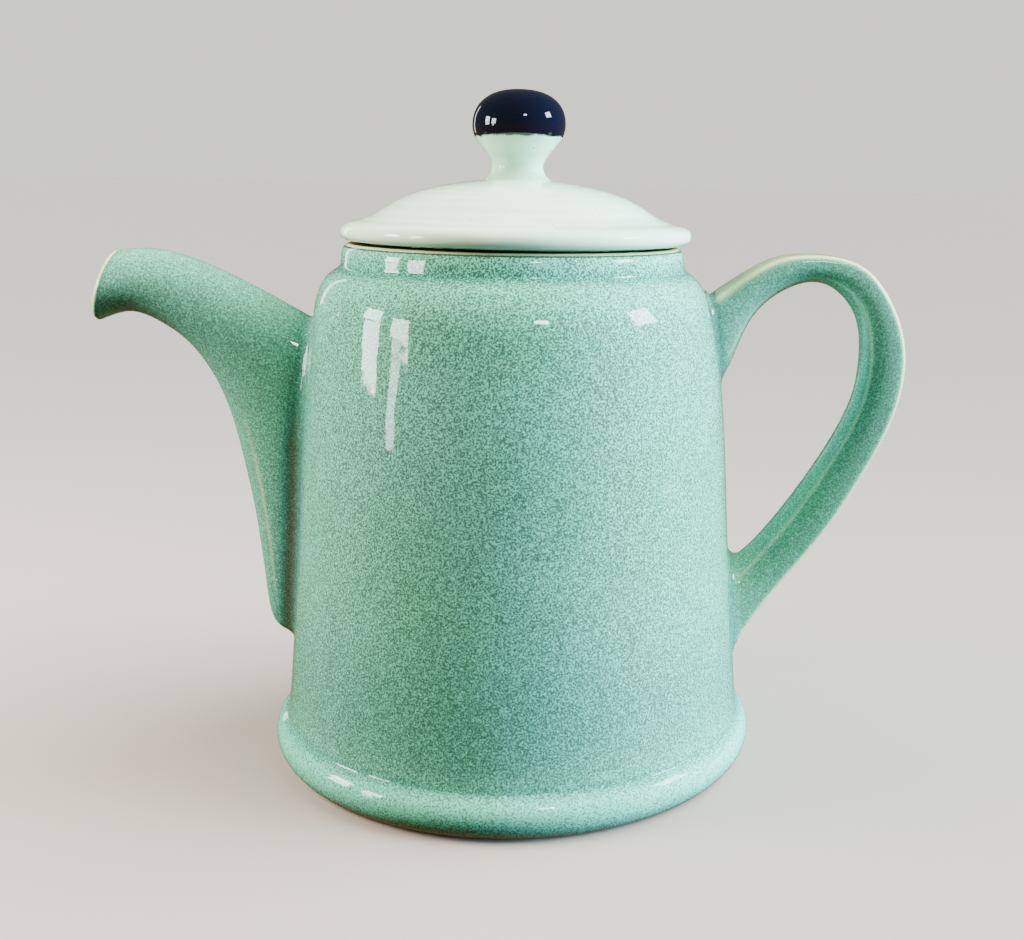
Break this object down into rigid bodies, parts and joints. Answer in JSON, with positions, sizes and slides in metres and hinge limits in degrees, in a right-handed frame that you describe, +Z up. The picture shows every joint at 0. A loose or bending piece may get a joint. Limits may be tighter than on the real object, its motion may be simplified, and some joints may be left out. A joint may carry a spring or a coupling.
{
  "type": "teapot",
  "caption": "Lidded stoneware teapot: tapered round body on a beaded foot, curved hollow spout, loop handle, and a domed lift-off lid with a round knob.",
  "frame": {"origin": "on the table, under the middle of the pot's overall length and width; the pot's own axis stands 4.55 mm from it along +X", "axes": "+Z up, -X along the spout, +X along the handle, +Y to the far side when the spout points left"},
  "size_m": [0.2255, 0.1376, 0.185],
  "materials": {
    "celadon_glaze": "gloss, finely speckled grey-green glaze",
    "cream_glaze": "gloss pale cream glaze",
    "navy_glaze": "high-gloss blue-black glaze"
  },
  "bodies": {
    "pot": {"pot_body": "celadon_glaze", "spout": "celadon_glaze", "handle": "celadon_glaze"},
    "lid": {"lid": "cream_glaze", "lid_flange": "cream_glaze", "lid_knob": "navy_glaze"}
  },
  "joints": [
    {"name": "lid_lift", "type": "slide", "parent": "pot", "child": "lid", "axis": [0, 0, 1], "range_m": [0, 0.03]}
  ]
}
